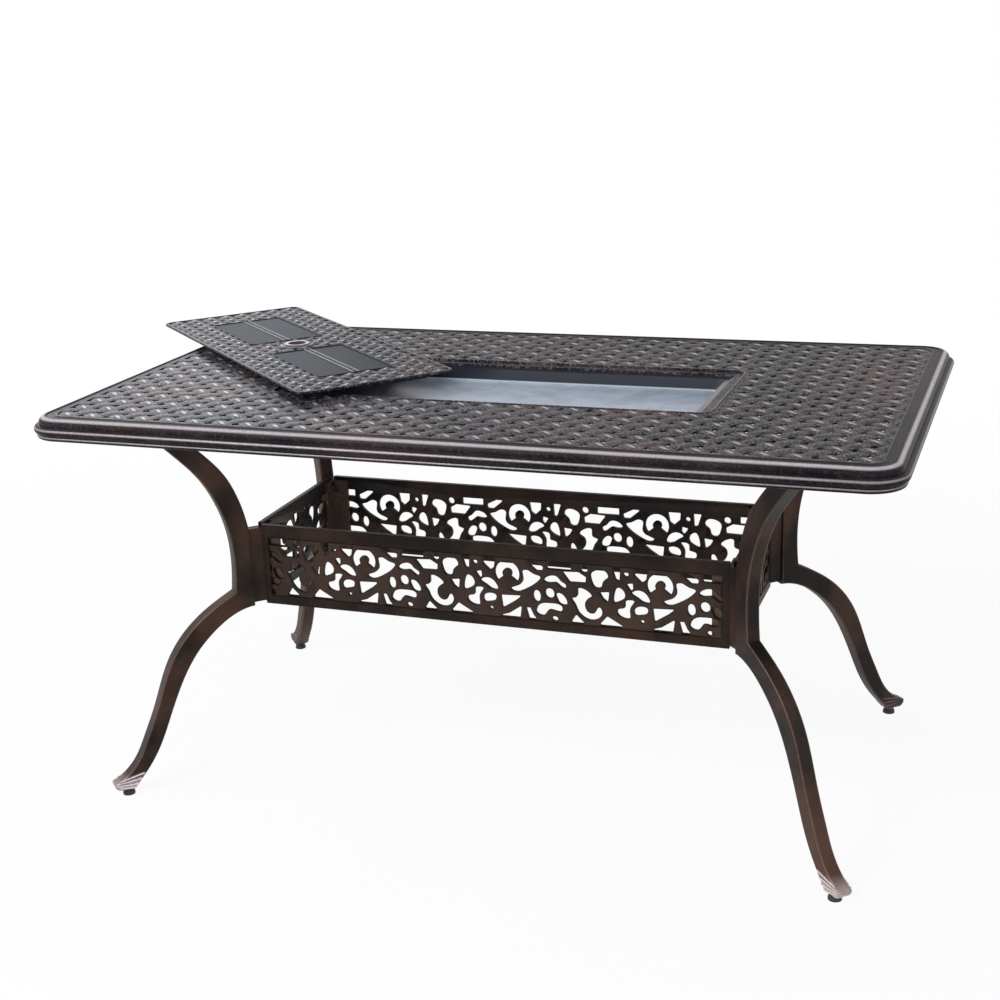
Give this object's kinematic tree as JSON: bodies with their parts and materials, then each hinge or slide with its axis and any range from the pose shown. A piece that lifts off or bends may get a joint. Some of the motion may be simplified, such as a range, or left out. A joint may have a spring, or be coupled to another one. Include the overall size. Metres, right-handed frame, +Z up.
{
  "type": "brazier table",
  "caption": "Cast metal garden dining table with a sunken fire tray, a lift-off lid lying turned across the top, pierced aprons and cabriole legs on levelling feet.",
  "frame": {"origin": "on the floor under the middle of the table top", "axes": "+X along the long side, to the right of a person at the front, +Y from the front to the back, +Z up"},
  "size_m": [1.6439, 0.9734, 0.7598],
  "materials": {
    "top_bronze": "antique bronze powder coat, semi-gloss",
    "frame_bronze": "dark antique bronze powder coat, semi-gloss",
    "tray_enamel": "dark blue-black enamel, glossy",
    "ring_metal": "antique bronze powder coat, worn at the rim",
    "bush_brass": "machined",
    "fastener_steel": "dark zinc",
    "foot_plastic": "matt black"
  },
  "bodies": {
    "table": {"table_top": "top_bronze", "apron_front": "frame_bronze", "apron_right": "frame_bronze", "apron_rear": "frame_bronze", "apron_left": "frame_bronze", "leg_front_left": "frame_bronze", "leg_front_right": "frame_bronze", "leg_rear_left": "frame_bronze", "leg_rear_right": "frame_bronze", "foot_bushes": "bush_brass", "leg_bolts": "fastener_steel", "leg_washers": "fastener_steel", "apron_bolts": "fastener_steel", "apron_washers": "fastener_steel"},
    "tray": {"fire_tray": "tray_enamel"},
    "lid": {"lid_plate": "top_bronze", "lid_ring": "ring_metal"},
    "foot_front_left": {"foot_pad_front_left": "foot_plastic", "foot_stem_front_left": "fastener_steel"},
    "foot_front_right": {"foot_pad_front_right": "foot_plastic", "foot_stem_front_right": "fastener_steel"},
    "foot_rear_left": {"foot_pad_rear_left": "foot_plastic", "foot_stem_rear_left": "fastener_steel"},
    "foot_rear_right": {"foot_pad_rear_right": "foot_plastic", "foot_stem_rear_right": "fastener_steel"}
  },
  "joints": [
    {"name": "tray_lift", "type": "slide", "parent": "table", "child": "tray", "axis": [0, 0, 1], "range_m": [0, 0.2]},
    {"name": "lid_lift", "type": "slide", "parent": "tray", "child": "lid", "axis": [0, 0, 1], "range_m": [0, 0.3]},
    {"name": "foot_front_left_screw", "type": "slide", "parent": "table", "child": "foot_front_left", "axis": [0, 0, -1], "range_m": [0, 0.01]},
    {"name": "foot_front_right_screw", "type": "slide", "parent": "table", "child": "foot_front_right", "axis": [0, 0, -1], "range_m": [0, 0.01]},
    {"name": "foot_rear_left_screw", "type": "slide", "parent": "table", "child": "foot_rear_left", "axis": [0, 0, -1], "range_m": [0, 0.01]},
    {"name": "foot_rear_right_screw", "type": "slide", "parent": "table", "child": "foot_rear_right", "axis": [0, 0, -1], "range_m": [0, 0.01]}
  ]
}
